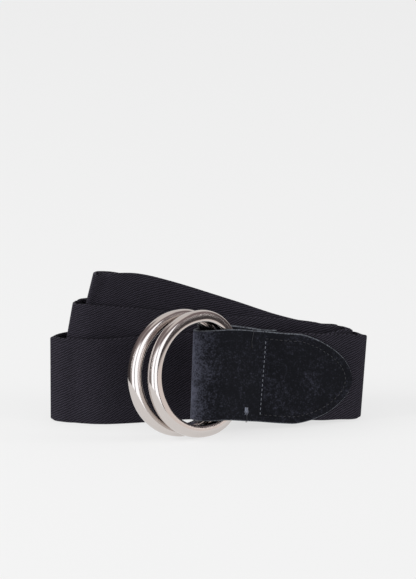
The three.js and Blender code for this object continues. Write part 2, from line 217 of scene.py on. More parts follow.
def twill_webbing(props):
    """Woven polyester webbing in twill: matt, with fine slanting ribs and a faint sheen."""
    rib_wander = 0.3 * MM
    yarn_depth = 0.8
    cloud_share = 0.5
    fibre_share = 1.1
    least_share = 0.2
    fibre_height = 0.4
    material, tree, shader = new_material("woven_twill_webbing")
    place = add_node(tree, "ShaderNodeUVMap", uv_map="band")
    # Turned, so that X runs along the ribs and Y across them
    turned = add_node(
        tree, "ShaderNodeVectorRotate", {"Vector": place, "Angle": -props.rib_angle},
        rotation_type="Z_AXIS",
    )
    parts = add_node(tree, "ShaderNodeSeparateXYZ", {0: turned})
    wobble = add_node(
        tree, "ShaderNodeTexNoise",
        {"Vector": place, "Scale": pattern_scale(1.111), "Detail": 2},
    )
    shift = add_node(
        tree, "ShaderNodeMapRange",
        {"Value": wobble, "To Min": -rib_wander, "To Max": rib_wander}, clamp=False,
    )
    across_ribs = add_node(
        tree, "ShaderNodeMath", {0: parts.outputs["Y"], 1: shift}, operation="ADD",
    )
    rib_phase = add_node(
        tree, "ShaderNodeMath",
        {0: across_ribs, 1: math.tau / props.rib_spacing}, operation="MULTIPLY",
    )
    rib_wave = add_node(tree, "ShaderNodeMath", {0: rib_phase}, operation="SINE")
    yarn_phase = add_node(
        tree, "ShaderNodeMath",
        {0: parts.outputs["X"], 1: math.tau / props.yarn_spacing}, operation="MULTIPLY",
    )
    # The yarns of each rib are set off by half a yarn from those of the next rib
    yarn_phase = add_node(
        tree, "ShaderNodeMath",
        {0: across_ribs, 1: math.pi / props.rib_spacing, 2: yarn_phase}, operation="MULTIPLY_ADD",
    )
    yarn_wave = add_node(tree, "ShaderNodeMath", {0: yarn_phase}, operation="SINE")
    weave = add_node(
        tree, "ShaderNodeMath", {0: yarn_wave, 1: yarn_depth, 2: rib_wave},
        operation="MULTIPLY_ADD",
    )
    crest = add_node(
        tree, "ShaderNodeMapRange", {"Value": weave, "From Min": -0.9, "From Max": 1.35},
        interpolation_type="SMOOTHSTEP",
    )
    cloudy = add_node(
        tree, "ShaderNodeTexNoise",
        {"Vector": place, "Scale": pattern_scale(7.143), "Detail": 4, "Roughness": 0.6},
    )
    # Single fibres are too thin to show, so their unevenness is drawn as coarse as a yarn
    fibre = add_node(
        tree, "ShaderNodeTexNoise",
        {"Vector": place, "Scale": pattern_scale(0.3846), "Detail": 2},
    )
    uneven = add_node(
        tree, "ShaderNodeMath", {0: cloudy, 1: cloud_share, 2: least_share},
        operation="MULTIPLY_ADD",
    )
    uneven = add_node(
        tree, "ShaderNodeMath", {0: fibre, 1: fibre_share, 2: uneven}, operation="MULTIPLY_ADD",
    )
    share = add_node(tree, "ShaderNodeMath", {0: crest, 1: uneven}, operation="MULTIPLY")
    # Painted shade: away from the rib crests the colour goes to the near-black valley colour, for the
    # shade between the ribs; the noise adds the yarn's real tone, which differs at random
    colour = add_node(
        tree, "ShaderNodeMix",
        {
            "Factor": share, FIRST_COLOUR: (*props.valley_shade_colour, 1),
            SECOND_COLOUR: (*props.colour, 1),
        },
        data_type="RGBA",
    )
    height = add_node(
        tree, "ShaderNodeMath", {0: fibre, 1: fibre_height, 2: crest}, operation="MULTIPLY_ADD",
    )
    bump = add_node(
        tree, "ShaderNodeBump", {"Height": height, "Strength": 0.8, "Distance": 0.12 * MM},
    )
    tree.links.new(colour.outputs[MIXED_COLOUR], shader.inputs["Base Color"])
    tree.links.new(bump.outputs["Normal"], shader.inputs["Normal"])
    shader.inputs["Roughness"].default_value = 0.78
    shader.inputs["Specular IOR Level"].default_value = 0.1
    shader.inputs["Sheen Weight"].default_value = 0.06
    shader.inputs["Sheen Roughness"].default_value = 0.35
    shader.inputs["Sheen Tint"].default_value = (*linear("#e1dfed"), 1)
    return material


# Unevenness of the nap: patches, tufts and brush strokes, by their width in millimetres and
# their share of the height. Single hairs are too thin to show, so tufts stand for them.
NAP_LAYERS = (
    (1.613, 0.5, {"Detail": 4, "Roughness": 0.7}),
    (0.6667, 0.5, {"Detail": 3, "Roughness": 0.7}),
    (11.11, 0.25, {"Detail": 3, "Distortion": 0.6}),
)


def suede_nap(props, fold_place):
    """Split suede, dyed black and brushed: a soft mottled nap with no gloss."""
    fold_highlight_lift = 0.13
    material, tree, shader = new_material("brushed_black_suede")
    place = add_node(tree, "ShaderNodeUVMap", uv_map="band")
    raised = 0.0
    for width, layer_share, settings in NAP_LAYERS:
        layer = add_node(
            tree, "ShaderNodeTexNoise",
            {"Vector": place, "Scale": pattern_scale(width), **settings},
        )
        raised = add_node(
            tree, "ShaderNodeMath", {0: layer, 1: layer_share, 2: raised},
            operation="MULTIPLY_ADD",
        )
    # Painted highlight: near the fold the nap is drawn paler and raised, where the turned fold catches
    # the light; the same share also raises the bump there
    along = add_node(tree, "ShaderNodeSeparateXYZ", {0: place}).outputs["X"]
    beyond_fold = add_node(
        tree, "ShaderNodeMath", {0: along, 1: fold_place}, operation="SUBTRACT",
    )
    from_fold = add_node(tree, "ShaderNodeMath", {0: beyond_fold}, operation="ABSOLUTE")
    painted_fold_highlight = add_node(
        tree, "ShaderNodeMapRange",
        {"Value": from_fold, "From Min": 0, "From Max": props.fold_highlight_reach, "To Min": 1, "To Max": 0},
        interpolation_type="SMOOTHSTEP",
    )
    raised = add_node(
        tree, "ShaderNodeMath", {0: painted_fold_highlight, 1: fold_highlight_lift, 2: raised},
        operation="MULTIPLY_ADD",
    )
    share = add_node(
        tree, "ShaderNodeMapRange", {"Value": raised, "From Min": 0.61, "From Max": 0.88},
        interpolation_type="SMOOTHSTEP",
    )
    nap_colour = add_node(
        tree, "ShaderNodeMix",
        {
            "Factor": share, FIRST_COLOUR: (*props.colour, 1),
            SECOND_COLOUR: (*props.raised_colour, 1),
        },
        data_type="RGBA",
    )
    fold_highlight_share = add_node(tree, "ShaderNodeMath", {0: painted_fold_highlight, 1: share}, operation="MULTIPLY")
    colour = add_node(
        tree, "ShaderNodeMix",
        {
            "Factor": fold_highlight_share, FIRST_COLOUR: nap_colour,
            SECOND_COLOUR: (*props.fold_highlight_colour, 1),
        },
        data_type="RGBA",
    )
    bump = add_node(
        tree, "ShaderNodeBump", {"Height": raised, "Strength": 0.9, "Distance": 0.25 * MM},
    )
    tree.links.new(colour.outputs[MIXED_COLOUR], shader.inputs["Base Color"])
    tree.links.new(bump.outputs["Normal"], shader.inputs["Normal"])
    shader.inputs["Roughness"].default_value = 0.95
    shader.inputs["Specular IOR Level"].default_value = 0.12
    shader.inputs["Sheen Weight"].default_value = 0.16
    shader.inputs["Sheen Roughness"].default_value = 0.3
    shader.inputs["Sheen Tint"].default_value = (*linear("#dadff1"), 1)
    return material


def raw_edge(props):
    """Cut edge of the suede, undyed inside: pale grey and fibrous."""
    material, tree, shader = new_material("raw_suede_edge")
    place = add_node(tree, "ShaderNodeTexCoord").outputs["Object"]
    # The cut fibres are too thin to show, so bundles of them are drawn 0.7 mm wide
    fibres = add_node(
        tree, "ShaderNodeTexNoise",
        {"Vector": place, "Scale": pattern_scale(0.7143), "Detail": 4},
    )
    share = add_node(
        tree, "ShaderNodeMapRange", {"Value": fibres, "From Min": 0.25, "From Max": 0.7},
        interpolation_type="SMOOTHSTEP",
    )
    colour = add_node(
        tree, "ShaderNodeMix",
        {
            "Factor": share, FIRST_COLOUR: (*props.colour, 1),
            SECOND_COLOUR: (*props.edge_colour, 1),
        },
        data_type="RGBA",
    )
    bump = add_node(
        tree, "ShaderNodeBump", {"Height": fibres, "Strength": 0.6, "Distance": 0.15 * MM},
    )
    tree.links.new(colour.outputs[MIXED_COLOUR], shader.inputs["Base Color"])
    tree.links.new(bump.outputs["Normal"], shader.inputs["Normal"])
    shader.inputs["Roughness"].default_value = 0.9
    shader.inputs["Specular IOR Level"].default_value = 0.2
    return material


def polished_nickel(props):
    """Cast zinc, nickel plated and polished: a warm mirror with faint polishing marks."""
    material, tree, shader = new_material("polished_nickel_plate")
    place = add_node(tree, "ShaderNodeTexCoord").outputs["Object"]
    # Polishing scratches are too fine to show, so they are drawn as cloudy marks 1.4 mm wide
    marks = add_node(
        tree, "ShaderNodeTexNoise",
        {"Vector": place, "Scale": pattern_scale(1.4286), "Detail": 4, "Roughness": 0.6},
    )
    roughness = add_node(
        tree, "ShaderNodeMapRange", {"Value": marks, "To Min": 0.05, "To Max": 0.13},
    )
    bump = add_node(
        tree, "ShaderNodeBump", {"Height": marks, "Strength": 0.05, "Distance": 0.02 * MM},
    )
    tree.links.new(roughness.outputs["Result"], shader.inputs["Roughness"])
    tree.links.new(bump.outputs["Normal"], shader.inputs["Normal"])
    shader.inputs["Base Color"].default_value = (*props.colour, 1)
    shader.inputs["Metallic"].default_value = 1
    return material


def sewing_thread(name, colour):
    """Bonded polyester thread: a slight gloss and a fine twist."""
    # The bands of a wave pattern lie a twentieth of a full turn apart
    band_share = math.tau / 20
    material, tree, shader = new_material(name)
    place = add_node(tree, "ShaderNodeTexCoord").outputs["Object"]
    twist = add_node(
        tree, "ShaderNodeTexWave",
        {"Vector": place, "Scale": band_share * pattern_scale(0.3491), "Distortion": 2},
    )
    bump = add_node(
        tree, "ShaderNodeBump",
        {"Height": twist.outputs["Fac"], "Strength": 0.4, "Distance": 0.05 * MM},
    )
    tree.links.new(bump.outputs["Normal"], shader.inputs["Normal"])
    shader.inputs["Base Color"].default_value = (*colour, 1)
    shader.inputs["Roughness"].default_value = 0.55
    return material


def needle_hole_material():
    """Inside of a needle hole: nearly black, because no light gets in."""
    material, tree, shader = new_material("needle_hole")
    depth = add_node(tree, "ShaderNodeTexNoise", {"Scale": pattern_scale(0.5)})
    colour = add_node(
        tree, "ShaderNodeMix",
        {
            "Factor": depth, FIRST_COLOUR: (*linear("#030303"), 1),
            SECOND_COLOUR: (*linear("#0a0a0d"), 1),
        },
        data_type="RGBA",
    )
    tree.links.new(colour.outputs[MIXED_COLOUR], shader.inputs["Base Color"])
    shader.inputs["Roughness"].default_value = 1
    return material


def smooth_curve(places, values, wanted):
    """Smooth curve through values at uneven places, read at the wanted places."""
    slopes = np.gradient(values, places, axis=0)
    index = np.clip(np.searchsorted(places, wanted, side="right") - 1, 0, len(places) - 2)
    step = places[index + 1] - places[index]
    share = (wanted - places[index]) / step
    if values.ndim > 1:
        step = step[:, None]
        share = share[:, None]
    start = (1 + 2 * share) * (1 - share) ** 2
    leaving = share * (1 - share) ** 2 * step
    end = share ** 2 * (3 - 2 * share)
    arriving = share ** 2 * (share - 1) * step
    near_start = start * values[index] + leaving * slopes[index]
    near_end = end * values[index + 1] + arriving * slopes[index + 1]
    return near_start + near_end


def end_section(mesh):
    """Corners of the left-hand end face of a CAD band."""
    same_plane = 0.9999
    mesh.normal_update()
    most = max(len(corner.link_edges) for corner in mesh.verts)
    fans = [corner for corner in mesh.verts if len(corner.link_edges) == most]
    faces = min(fans, key=lambda corner: corner.co.x).link_faces
    level = [
        [other for other in faces if other.normal.dot(face.normal) > same_plane] for face in faces
    ]
    return {corner for face in max(level, key=len) for corner in face.verts}


# Corners of a CAD band that lie closer together than this are one corner
MERGE_DISTANCE = 1e-7


class Band:
    """The centre line, across direction and half width of a CAD band, along its length."""

    def __init__(self, node, backwards=False):
        mesh = bmesh.new()
        mesh.from_mesh(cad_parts[node].data)
        bmesh.ops.remove_doubles(mesh, verts=mesh.verts, dist=MERGE_DISTANCE)
        mesh.verts.index_update()
        section = end_section(mesh)
        seen = set(section)
        centres, across, widths = [], [], []
        while section:
            corners = np.array([v.co for v in sorted(section, key=lambda v: v.index)])
            centre = corners.mean(0)
            direction = np.linalg.svd(corners - centre)[2][0]
            direction *= np.sign(direction[2])
            centres.append(centre)
            across.append(direction)
            widths.append(np.abs((corners - centre) @ direction).max())
            section = {e.other_vert(v) for v in section for e in v.link_edges} - seen
            seen |= section
        mesh.free()
        order = slice(None, None, -1) if backwards else slice(None)
        self.centres = np.array(centres)[order]
        self.across = np.array(across)[order]
        self.widths = np.array(widths)[order]
        steps = np.linalg.norm(np.diff(self.centres, axis=0), axis=1)
        self.places = np.concatenate([[0], np.cumsum(steps)])
        self.length = self.places[-1]
        self.ridge = np.zeros(len(self.places))

    def at(self, wanted):
        """Centres, across directions and normals at places along the band."""
        wanted = np.atleast_1d(np.asarray(wanted, float))
        nudge = 0.05 * MM
        centre = smooth_curve(self.places, self.centres, wanted)
        before = smooth_curve(self.places, self.centres, np.clip(wanted - nudge, 0, self.length))
        after = smooth_curve(self.places, self.centres, np.clip(wanted + nudge, 0, self.length))
        across = smooth_curve(self.places, self.across, wanted)
        across /= np.linalg.norm(across, axis=1)[:, None]
        normal = np.cross(after - before, across)
        normal /= np.linalg.norm(normal, axis=1)[:, None]
        return centre, across, normal

    def push(self, place_x, spread_x, height):
        """Pushes the frontmost run forwards in a soft upright ridge at place_x."""
        x, y = self.centres[:, 0], self.centres[:, 1]
        far_from_ridge = 4 * spread_x
        near = np.abs(x - place_x) < far_from_ridge
        front = near & (y < y[near].min() + spread_x)
        self.ridge = np.where(front, height * np.exp(-((x - place_x) / spread_x) ** 2), 0)

    def tightness(self, wanted):
        """From 0 where the band runs straight to 1 where it folds hard."""
        reach = 0.8 * MM
        hard_turn = math.radians(50)
        ahead = self.at(np.clip(wanted + reach, 0, self.length))[2]
        behind = self.at(np.clip(wanted - reach, 0, self.length))[2]
        turn = np.arccos(np.clip((ahead * behind).sum(1), -1, 1))
        return np.clip(turn / hard_turn, 0, 1)

    def point(self, place, side, lift):
        """A point beside the centre line and off the band's middle."""
        centre, across, normal = self.at(place)
        return (centre + across * side + normal * lift)[0]

    def place_of_x(self, x, upto):
        """Where along the band, before the given place, its centre line passes x."""
        tries = 400
        fine = np.linspace(0, upto, tries)
        line = smooth_curve(self.places, self.centres, fine)[:, 0]
        return fine[np.argmin(np.abs(line - x))]


# How far the tab's front layer sags, at distances along X from the belt's middle
SAG_PLACES = (16 * MM, 33 * MM, 58 * MM)
SAG_DEPTHS = (0, 0.9 * MM, 1.2 * MM)

# The rows of a band are nowhere further apart than this
ROW_STEP = 1.2 * MM

# The rounded edges take no more than this share of a band's half width
LARGEST_EDGE_SHARE = 0.45


def band_section(face_steps, edge_steps):
    """Closed outline of a band: shares of the flat half width, edge roundings and heights."""
    rows = []
    for side in (1, -1):
        for share in np.linspace(-side, side, face_steps + 1):
            rows.append((share, 0, side, False))
        for angle in np.linspace(math.pi / 2, -math.pi / 2, edge_steps + 1)[1:-1]:
            rows.append((side, side * math.cos(angle), side * math.sin(angle), True))
    return rows


def add_piece(name, mesh, materials, nodes=()):
    """Links a mesh as a piece that rides on the belt and stands for the given CAD nodes."""
    piece = bpy.data.objects.new(name, mesh)
    bpy.context.scene.collection.objects.link(piece)
    for material in materials:
        mesh.materials.append(material)
    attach(piece, "root")
    if nodes:
        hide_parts(*nodes)


def wall_faces(rows, sides):
    """Faces between each row of corners and the next, in the given order of rows."""
    faces = []
    for near, far in zip(rows[:-1], rows[1:]):
        for k in range(sides):
            after = (k + 1) % sides
            faces.append((near * sides + k, far * sides + k, far * sides + after, near * sides + after))
    return faces


def band_mesh(name, band, places, widths, thickness, edge, section):
    """Closed mesh of a band, with a UV map of lengths along and across it in metres.

    The edges and the ends take the second material.
    """
    centre, across, normal = band.at(places)
    share, rounding, height, is_edge = (np.array(column) for column in zip(*section))
    edges = np.minimum(edge, LARGEST_EDGE_SHARE * widths)[:, None]
    side = share * (widths[:, None] - edges) + rounding * edges
    lift = np.broadcast_to(height * thickness / 2, side.shape)
    corners = centre[:, None] + across[:, None] * side[..., None]
    corners += normal[:, None] * lift[..., None]
    # The ridge stands highest in the middle of the band's width
    ridge = smooth_curve(band.places, band.ridge, places)[:, None]
    corners[..., 1] -= ridge * (1 - (side / widths[:, None]) ** 2)
    count, sides = side.shape
    faces = wall_faces(range(count), sides)
    faces.append(tuple(range(sides)))
    faces.append(tuple(reversed(range((count - 1) * sides, count * sides))))
    mesh = bpy.data.meshes.new(name)
    mesh.from_pydata(corners.reshape(-1, 3).tolist(), [], faces)
    uv = np.stack([np.repeat(places, sides), side.reshape(-1)], 1)
    loops = np.array([loop.vertex_index for loop in mesh.loops])
    layer = mesh.uv_layers.new(name="band")
    layer.data.foreach_set("uv", uv[loops].reshape(-1).astype(np.float32))
    for i, polygon in enumerate(mesh.polygons):
        polygon.use_smooth = i < len(faces) - 2
        on_edge = is_edge[i % sides] or is_edge[(i + 1) % sides]
        polygon.material_index = 1 if on_edge or i >= len(faces) - 2 else 0
    turned_out(mesh)
    return mesh


def turned_out(mesh):
    """Turns the faces of a closed mesh outwards."""
    shape = bmesh.new()
    shape.from_mesh(mesh)
    bmesh.ops.recalc_face_normals(shape, faces=shape.faces)
    shape.to_mesh(mesh)
    shape.free()
    mesh.validate()


def finer_places(places, step):
    """The given places, with more between them so that none is further apart than step."""
    finer = [places[:1]]
    for start, end in zip(places[:-1], places[1:]):
        count = max(2, math.ceil((end - start) / step))
        finer.append(np.linspace(start, end, count + 1)[1:])
    return np.concatenate(finer)


class BELT_OT_webbing(bpy.types.Operator):
    """Weaves the band, from the end inside the tab to its free end"""
    bl_idname = "belt.webbing"
    bl_label = "Webbing"

    def execute(self, context):
        props = context.scene.belt_webbing
        band = Band("webbing_strap")
        band.push(props.ridge_x, props.ridge_width, props.ridge_height)
        places = finer_places(band.places, ROW_STEP)
        widths = smooth_curve(band.places, band.widths, places)
        widths -= props.pull * band.tightness(places)
        section = band_section(face_steps=10, edge_steps=6)
        mesh = band_mesh(
            "webbing", band, places, widths, props.thickness, props.selvedge, section,
        )
        woven = twill_webbing(props)
        add_piece("webbing", mesh, [woven, woven], ["webbing_strap"])
        return {"FINISHED"}


def tab_band():
    """The tab's band from its tip, whose front layer sags a little beyond the cross seam."""
    band = Band("ring_tab", backwards=True)
    x = band.centres[:, 0]
    front_layer = band.places < band.places[np.argmin(x)]
    sag = np.interp(x, SAG_PLACES, SAG_DEPTHS)
    band.centres[:, 2] -= np.where(front_layer, sag, 0)
    return band


def tab_half_width(band, suede, places):
    """Half the tab's width at places along it: a full, rounded point, then parallel edges."""
    bluntness = 1.4
    narrowest = 0.0004
    left = np.clip(1 - np.asarray(places) / suede.taper, 0, 1)
    return band.widths.max() * np.sqrt(np.maximum(1 - left ** bluntness, narrowest))


class BELT_OT_suede_tab(bpy.types.Operator):
    """Cuts and folds the suede tab round the rings"""
    bl_idname = "belt.suede_tab"
    bl_label = "Suede tab"

    def execute(self, context):
        props = context.scene.belt_suede
        band = tab_band()
        tip_rows = 30
        tip = props.taper * (np.arange(tip_rows) / tip_rows) ** 2
        body = finer_places(band.places[band.places > props.taper], ROW_STEP)
        places = np.concatenate([tip, [props.taper], body])
        widths = tab_half_width(band, props, places)
        section = band_section(face_steps=20, edge_steps=5)
        mesh = band_mesh("suede_tab", band, places, widths, props.thickness, props.edge, section)
        fold_place = band.places[np.argmin(band.centres[:, 0])]
        finishes = [suede_nap(props, fold_place), raw_edge(props)]
        add_piece("suede_tab", mesh, finishes, ["ring_tab"])
        return {"FINISHED"}


# Between these cosines, seen from a ring's middle, its wall thins from the round half to the bar
SWELL_SPAN = (-0.5, 0.8)


def ring_outline(props, depth):
    """Outline of a ring in its own plane, moved inwards by a share of its wall."""
    low = props.corner_radius - props.radius
    arcs = [
        (0, 0, props.radius, 90, 270, 90),
        (props.corner_x, low, props.corner_radius, 270, 360, 40),
        (props.corner_x, -low, props.corner_radius, 0, 90, 40),
    ]
    points = []
    for x, z, radius, start, end, steps in arcs:
        for angle in np.radians(np.linspace(start, end, steps + 1)):
            thicker = props.swell * np.interp(math.cos(angle), SWELL_SPAN, (1, 0))
            reach = radius - depth * (props.wall + thicker)
            points.append((x + reach * math.cos(angle), z + reach * math.sin(angle)))
    return points


def ring_profile(steps):
    """Cross-section of a ring: a rounded bar, as shares of its wall and half width."""
    outer_fullness = 0.8
    inner_fullness = 0.42
    rows = []
    for angle in np.linspace(0, math.tau, steps, endpoint=False):
        fullness = outer_fullness if math.cos(angle) > 0 else inner_fullness
        out = math.copysign(abs(math.cos(angle)) ** fullness, math.cos(angle))
        along = math.copysign(abs(math.sin(angle)) ** fullness, math.sin(angle))
        rows.append(((out + 1) / 2, along))
    return rows


def ring_mesh(name, props, yaw, node):
    """Closed mesh of a ring, turned, leaned and set in the middle of its CAD node's box."""
    profile = ring_profile(steps=36)
    outlines = [ring_outline(props, 1 - out) for out, along in profile]
    turn = Matrix.Rotation(yaw, 3, "Z") @ Matrix.Rotation(-props.lean, 3, "X")
    corners = []
    count = len(outlines[0])
    for i in range(count):
        for (out, along), outline in zip(profile, outlines):
            x, z = outline[i]
            corners.append(turn @ Vector((x, along * props.width / 2, z)))
    faces = wall_faces([*range(count), 0], len(profile))
    cad_low, cad_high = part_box(node)
    low = Vector([min(corner[axis] for corner in corners) for axis in range(3)])
    high = Vector([max(corner[axis] for corner in corners) for axis in range(3)])
    shift = (cad_low + cad_high - low - high) / 2
    mesh = bpy.data.meshes.new(name)
    mesh.from_pydata([corner + shift for corner in corners], [], faces)
    for polygon in mesh.polygons:
        polygon.use_smooth = True
    turned_out(mesh)
    return mesh


class BELT_OT_rings(bpy.types.Operator):
    """Casts and polishes the two rings"""
    bl_idname = "belt.rings"
    bl_label = "Rings"

    def execute(self, context):
        props = context.scene.belt_rings
        metal = polished_nickel(props)
        for name, yaw, node in (
            ("front_ring", props.front_yaw, "ring_front"),
            ("rear_ring", props.rear_yaw, "ring_rear"),
        ):
            add_piece(name, ring_mesh(name, props, yaw, node), [metal], [node])
        return {"FINISHED"}


def closed_wall(shape, rings):
    """Adds the faces between rings of corners to a bmesh, and closes both ends."""
    for first, second in zip(rings[:-1], rings[1:]):
        count = len(first)
        for k in range(count):
            after = (k + 1) % count
            shape.faces.new((first[k], first[after], second[after], second[k]))
    shape.faces.new(rings[0][::-1])
    shape.faces.new(rings[-1])


def thread_tube(shape, points, radius):
    """Adds a closed tube of thread along a row of points to a bmesh."""
    sides = 8
    nearly_parallel = 0.2
    points = [Vector(p) for p in points]
    rings = []
    for i, point in enumerate(points):
        before = points[max(i - 1, 0)]
        after = points[min(i + 1, len(points) - 1)]
        tangent = (after - before).normalized()
        side = tangent.cross(Vector((0, 1, 0)))
        if side.length < nearly_parallel:
            side = tangent.cross(Vector((1, 0, 0)))
        side.normalize()
        other = tangent.cross(side)
        ring = []
        for k in range(sides):
            angle = math.tau * k / sides
            out = side * math.cos(angle) + other * math.sin(angle)
            ring.append(shape.verts.new(point + radius * out))
        rings.append(ring)
    closed_wall(shape, rings)


def stitch_points(band, start, end, thickness, radius):
    """One stitch between two places on the outer face of the tab, with its ends sunk in."""
    crown = 1.3
    sunk_ends = 0.8
    rows = []
    for share in np.linspace(0, 1, 7):
        place = start[0] + (end[0] - start[0]) * share
        side = start[1] + (end[1] - start[1]) * share
        arch = math.sin(math.pi * share) ** 0.5
        lift = thickness / 2 + radius * (crown * arch - sunk_ends)
        rows.append(band.point(place, side, -lift))
    return rows


def stitched_row(path, props):
    """Starts and ends of the stitches along a path of places and sides."""
    path = np.array(path)
    run = np.concatenate([[0], np.cumsum(np.linalg.norm(np.diff(path, axis=0), axis=1))])
    stitches = []
    start = 0.0
    while start + props.stitch < run[-1]:
        ends = []
        for place in (start, start + props.stitch):
            ends.append([np.interp(place, run, path[:, 0]), np.interp(place, run, path[:, 1])])
        stitches.append(ends)
        start += props.pitch
    return stitches


def thread_piece(name, rows, radius, material):
    """One piece of several threads, each a row of points."""
    shape = bmesh.new()
    for points in rows:
        thread_tube(shape, points, radius)
    bmesh.ops.recalc_face_normals(shape, faces=shape.faces)
    for face in shape.faces:
        face.smooth = True
    mesh = bpy.data.meshes.new(name)
    shape.to_mesh(mesh)
    shape.free()
    add_piece(name, mesh, [material])


# Where the cross seam and the end tacks are, as distances along X from the belt's middle
CROSS_SEAM_X = 21.5 * MM
TACK_X = 16.1 * MM

# The tacks' holes, as distances from the middle of the tab's width
TACK_SIDES = (11.6 * MM, -12.7 * MM)

# A needle hole's radius, and its rings: shares of it, and heights over the suede in millimetres
HOLE_RADIUS = 0.42 * MM
HOLE_RINGS = ((1.15, 0.059), (0.9, 0.044), (0.6, -0.04), (0.15, -0.07))

# Fibres of the frayed end: distance from the hole's middle and length, in millimetres
FRAYED_FIBRES = ((-0.5, 2.3), (-0.15, 3.1), (0.2, 2.2), (0.5, 3), (0.8, 2))


def edge_path(band, suede, inset, seam_place):
    """The edge stitching: from the cross seam round the tip and back, as places and sides."""
    full = band.widths.max()
    first_share = 0.02
    runs = np.linspace(first_share, 1, 60) ** 2 * suede.taper
    sides = tab_half_width(band, suede, runs)
    slope = np.gradient(sides, runs)
    norm = np.sqrt(1 + slope ** 2)
    upper = zip(runs + inset * slope / norm, sides - inset / norm)
    upper = [(run, side) for run, side in upper if side > 0 and run < suede.taper]
    upper.append((seam_place, full - inset))
    lower = [(run, -side) for run, side in upper]
    return lower[::-1] + upper


def needle_hole(shape, band, place, side, thickness):
    """Adds a small sunk cup, seen as a hole in the suede."""
    steps = 14
    rings = []
    for share, rise in HOLE_RINGS:
        ring = []
        for k in range(steps):
            angle = math.tau * k / steps
            along = HOLE_RADIUS * share * math.cos(angle)
            up = HOLE_RADIUS * share * math.sin(angle)
            spot = band.point(place + along, side + up, -(thickness / 2 + rise * MM))
            ring.append(shape.verts.new(spot))
        rings.append(ring)
    closed_wall(shape, rings)


class BELT_OT_stitching(bpy.types.Operator):
    """Sews the tab: the cross seam, the edge stitching and the end tacks"""
    bl_idname = "belt.stitching"
    bl_label = "Stitching"

    def execute(self, context):
        props = context.scene.belt_thread
        suede = context.scene.belt_suede
        band = tab_band()
        front_layer = band.length / 2
        full = band.widths.max()
        light = sewing_thread("light_sewing_thread", props.light_colour)
        dark = sewing_thread("dark_sewing_thread", props.dark_colour)
        seam = band.place_of_x(CROSS_SEAM_X, front_layer)
        reach = full - props.inset
        cross = stitched_row([(seam, -reach), (seam, reach)], props)
        around = stitched_row(edge_path(band, suede, props.inset, seam), props)
        for name, stitches, material in (
            ("cross_seam", cross, light),
            ("edge_stitching", around, dark),
        ):
            rows = [
                stitch_points(band, start, end, suede.thickness, props.radius)
                for start, end in stitches
            ]
            thread_piece(name, rows, props.radius, material)
        self.tacks(band, props, suede, dark, front_layer)
        self.tuft(band, props, suede, front_layer)
        return {"FINISHED"}

    def tacks(self, band, props, suede, material, front_layer):
        """Thread ends that come out of a hole and go over the nearest edge."""
        past_edge = 0.25 * MM
        sunk_start = 0.3 * suede.thickness
        sway_width = 0.25 * MM
        sway_turn = 5
        rise = suede.thickness / 2 + 0.6 * props.radius
        thin_radius = 0.7 * props.radius
        full = band.widths.max()
        place = band.place_of_x(TACK_X, front_layer)
        rows = []
        holes = bmesh.new()
        for side in TACK_SIDES:
            needle_hole(holes, band, place, side, suede.thickness)
            edge = math.copysign(full + past_edge, side)
            points = [band.point(place, side, -sunk_start)]
            for share in np.linspace(0.04, 1, 12):
                sway = sway_width * math.sin(sway_turn * share)
                points.append(band.point(place + sway, side + (edge - side) * share, -rise))
            points.append(band.point(place, edge, 0))
            rows.append(points)
        thread_piece("end_tacks", rows, thin_radius, material)
        for face in holes.faces:
            face.smooth = True
        mesh = bpy.data.meshes.new("needle_holes")
        holes.to_mesh(mesh)
        holes.free()
        add_piece("needle_holes", mesh, [needle_hole_material()])

    def tuft(self, band, props, suede, front_layer):
        """The frayed pale thread end beside the lower hole."""
        beside_hole = 0.3 * MM
        closeness = 0.8
        fanning = 0.5
        curl = 0.12 * MM
        curl_turn = 5
        arch = 0.25 * MM
        rise = suede.thickness / 2 + 0.5 * props.radius
        fibre_radius = 0.55 * props.radius
        frayed = sewing_thread("frayed_thread_end", props.frayed_colour)
        place = band.place_of_x(TACK_X, front_layer) + beside_hole
        start = TACK_SIDES[1]
        rows = []
        for shift, length in FRAYED_FIBRES:
            points = []
            for share in np.linspace(0, 1, 8):
                along = (closeness + fanning * share) * shift * MM
                along += curl * math.sin(curl_turn * share + shift)
                lift = rise + arch * math.sin(math.pi * share)
                points.append(band.point(place + along, start - share * length * MM, -lift))
            rows.append(points)
        thread_piece("frayed_end", rows, fibre_radius, frayed)


# Ranges below and above every bearing and height, for a share that has only one end
BELOW_ALL = (-9, -8)
ABOVE_ALL = (8, 9)


def share_between(tree, value, rise, fall):
    """Share that grows from 0 to 1 over one range of the value and shrinks again over another."""
    ends = []
    for start, end in (rise, fall):
        ends.append(add_node(
            tree, "ShaderNodeMapRange", {"Value": value, "From Min": start, "From Max": end},
            interpolation_type="SMOOTHSTEP",
        ))
    return add_node(tree, "ShaderNodeMath", {0: ends[0], 1: ends[1]}, operation="SUBTRACT")


def studio_world(strength):
    """Even pale light from all round."""
    world = bpy.data.worlds.new("studio")
    bpy.context.scene.world = world
    world.use_nodes = True
    tree = world.node_tree
    tree.nodes.clear()
    background = add_node(
        tree, "ShaderNodeBackground", {"Color": (*linear("#ffffff"), 1), "Strength": strength},
    )
    output = add_node(tree, "ShaderNodeOutputWorld")
    tree.links.new(background.outputs["Background"], output.inputs["Surface"])


# What the polished rings mirror. Bearings are from the camera's side, right positive, and
# elevations are above the horizon, all in degrees.
MIRRORED_LEFT_BOX = (-51, -5)
MIRRORED_RIGHT_BOX = (6, 54)
MIRRORED_RADIUS = 0.13
MIRRORED_CENTRE = (-7 * MM, -13.5 * MM, 24 * MM)


def bearings(*degrees):
    """Bearings in radians."""
    return tuple(math.radians(value) for value in degrees)


def heights(*degrees):
    """Heights on a ball of radius 1 at elevations in degrees."""
    return tuple(math.sin(math.radians(value)) for value in degrees)


